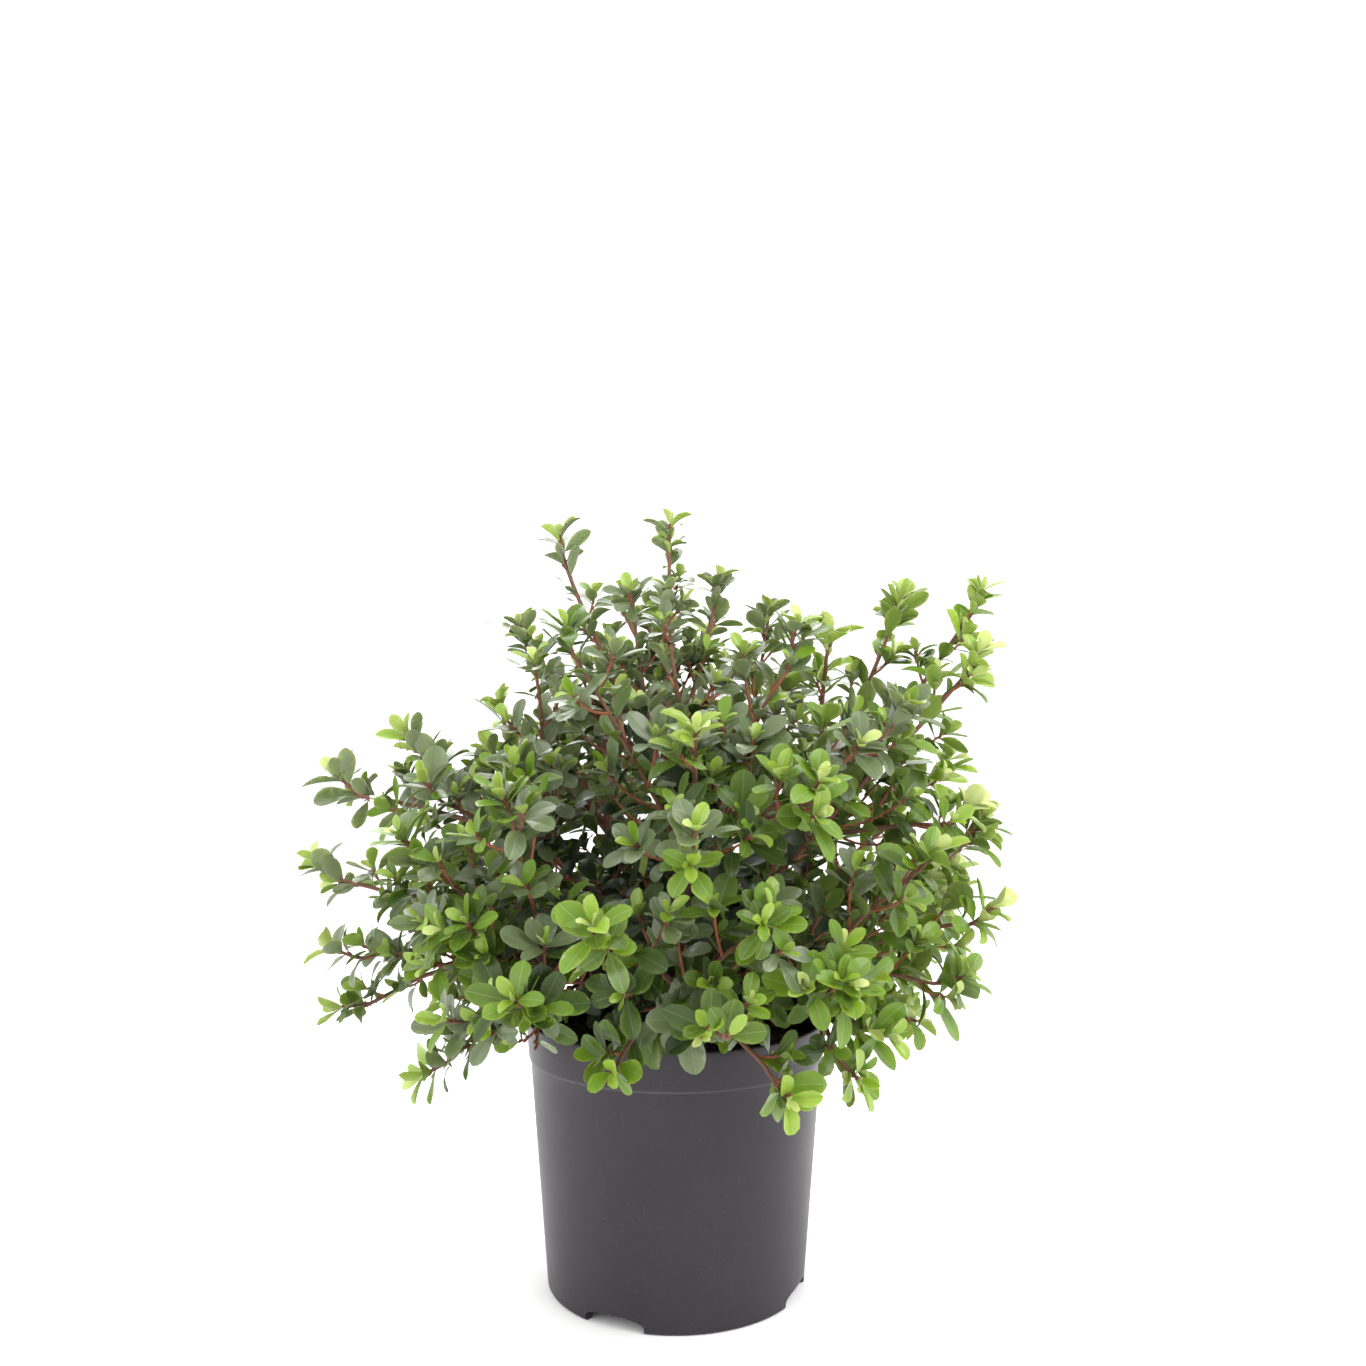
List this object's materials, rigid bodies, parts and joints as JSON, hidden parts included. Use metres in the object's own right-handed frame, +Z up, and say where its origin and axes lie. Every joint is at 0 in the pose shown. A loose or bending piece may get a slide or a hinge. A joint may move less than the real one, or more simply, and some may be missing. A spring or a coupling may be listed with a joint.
{
  "type": "potted escallonia shrub",
  "caption": "Young evergreen shrub with a rounded leafy crown and long shoots, rooted in potting soil in a round tapered nursery pot.",
  "frame": {"origin": "centre of the pot's flat underside", "axes": "+Z up, the front of the plant towards -Y, +X to its right as seen from the front"},
  "size_m": [0.4189, 0.4103, 0.4483],
  "materials": {
    "pot_plastic": "satin dark grey moulded plastic",
    "potting_soil": "crumbly dark compost",
    "bark": "red-brown bark, ridged when old",
    "leaf": "glossy evergreen leaf"
  },
  "bodies": {
    "root": {"bough_low_back": "bark", "bough_low_back_left": "bark", "bough_low_back_right": "bark", "bough_low_front": "bark", "bough_low_front_left": "bark", "bough_low_front_right": "bark", "bough_low_left": "bark", "bough_low_right": "bark", "bough_top": "bark", "bough_upper_back_left": "bark", "bough_upper_back_right": "bark", "bough_upper_front": "bark", "bough_upper_left": "bark", "bough_upper_right": "bark", "foliage_low_back": "leaf", "foliage_low_back_left": "leaf", "foliage_low_back_right": "leaf", "foliage_low_front": "leaf", "foliage_low_front_left": "leaf", "foliage_low_front_right": "leaf", "foliage_low_left": "leaf", "foliage_low_right": "leaf", "foliage_top": "leaf", "foliage_upper_back_left": "leaf", "foliage_upper_back_right": "leaf", "foliage_upper_front": "leaf", "foliage_upper_left": "leaf", "foliage_upper_right": "leaf", "main_stem": "bark", "pot": "pot_plastic", "potting_soil": "potting_soil"}
  },
  "joints": []
}
